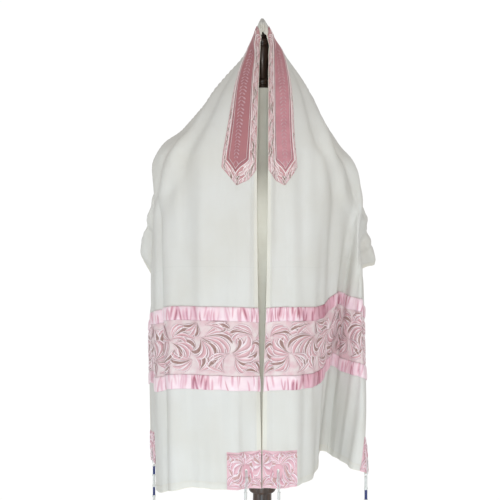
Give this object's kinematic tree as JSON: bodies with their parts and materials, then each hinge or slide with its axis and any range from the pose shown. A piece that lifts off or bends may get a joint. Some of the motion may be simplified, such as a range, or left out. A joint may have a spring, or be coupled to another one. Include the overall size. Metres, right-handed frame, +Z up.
{
  "type": "tallit prayer shawl on a dress form stand",
  "caption": "Off-white prayer shawl with satin ribbons, embroidered bands, neckband and corner fringes, hanging open over a limbless dress form on a turned stand.",
  "frame": {"origin": "the middle of the stand's underside, on the floor", "axes": "+Z up; the shawl's open front faces -Y; -X is the wearer's right"},
  "size_m": [0.5234, 0.3307, 1.6217],
  "materials": {
    "shawl_cloth": "matte off-white wool and silk weave",
    "pink_ribbon": "satin ribbon, softly puckered",
    "embroidered_band": "sheer dusty pink organza with raised scroll embroidery",
    "corner_patch": "sheer dusty pink organza",
    "neckband_ground": "organza with scroll embroidery",
    "neckband_strip": "rose satin with embroidery",
    "fringe_cord": "twisted white wool strings with a blue one",
    "form_cover": "khaki linen cover",
    "dark_wood": "dark turned wood, satin"
  },
  "bodies": {
    "root": {"shawl_cloth": "shawl_cloth", "ribbon_upper_left": "pink_ribbon", "ribbon_upper_right": "pink_ribbon", "ribbon_lower_left": "pink_ribbon", "ribbon_lower_right": "pink_ribbon", "band_left": "embroidered_band", "band_right": "embroidered_band", "corner_left_front": "corner_patch", "corner_left_back": "corner_patch", "corner_right_front": "corner_patch", "corner_right_back": "corner_patch", "atarah_ground": "neckband_ground", "atarah_strip": "neckband_strip", "tzitzit_left_front": "fringe_cord", "tzitzit_left_back": "fringe_cord", "tzitzit_right_front": "fringe_cord", "tzitzit_right_back": "fringe_cord", "form_torso": "form_cover", "form_finial": "dark_wood", "stand_collar": "dark_wood", "stand_pole": "dark_wood", "stand_base": "dark_wood"}
  },
  "joints": []
}
